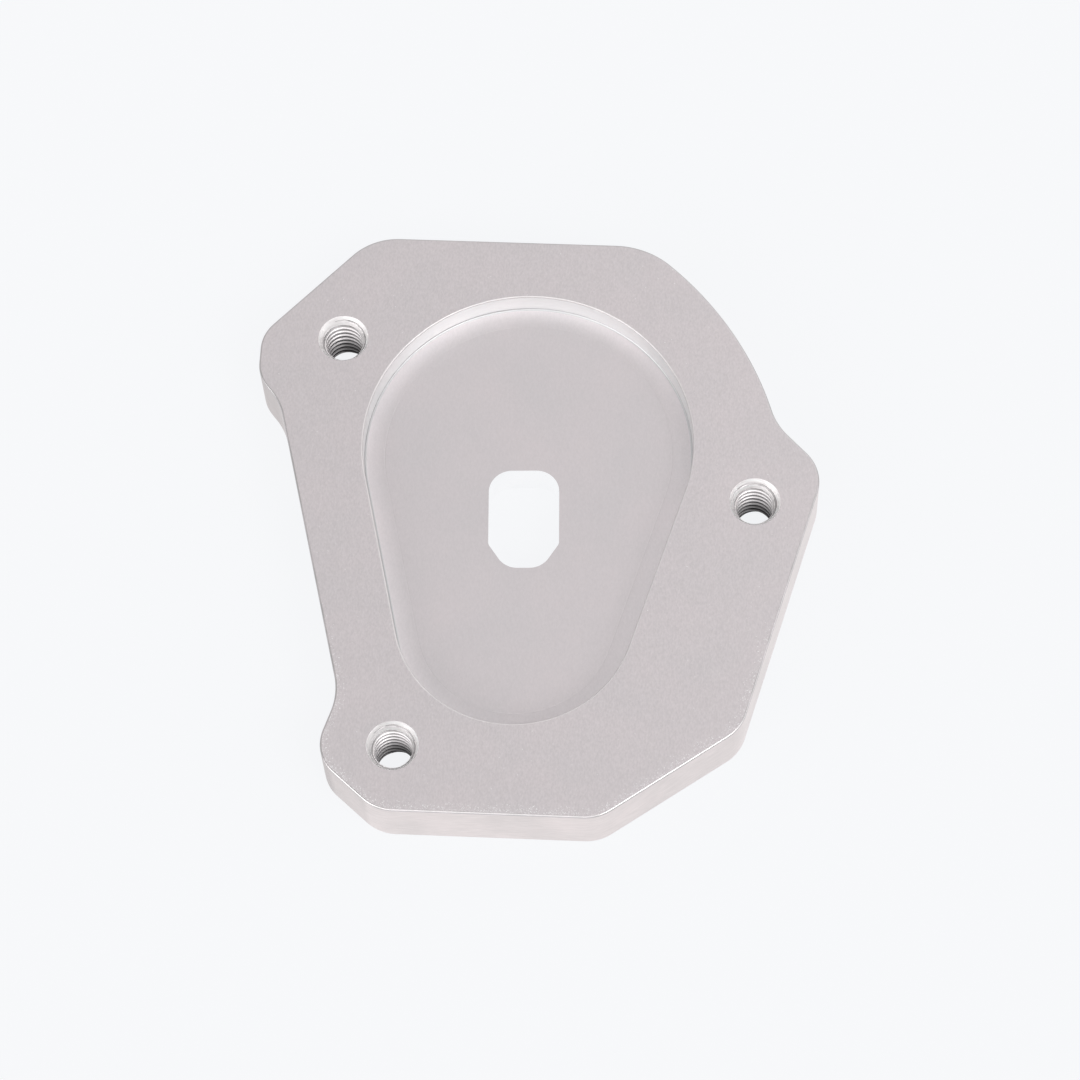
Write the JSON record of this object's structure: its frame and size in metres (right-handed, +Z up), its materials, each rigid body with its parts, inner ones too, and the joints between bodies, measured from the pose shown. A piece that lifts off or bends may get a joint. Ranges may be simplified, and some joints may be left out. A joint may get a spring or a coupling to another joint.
{
  "type": "kickstand foot enlarger",
  "caption": "Machined aluminium base plate with a pear-shaped pocket for a stand's foot, a window through its floor, and tapped holes with countersunk mouths in a lobed outline.",
  "frame": {"origin": "middle of the outline's box, on the underside that stands on the ground", "axes": "+Z up through the plate, out of the pocket; +Y towards the wide end of the pocket; +X towards the lobe with the east hole"},
  "size_m": [0.0756, 0.083, 0.009],
  "materials": {
    "satin_aluminium": "satin, fine machined grain"
  },
  "bodies": {
    "root": {"foot_plate": "satin_aluminium"}
  },
  "joints": []
}
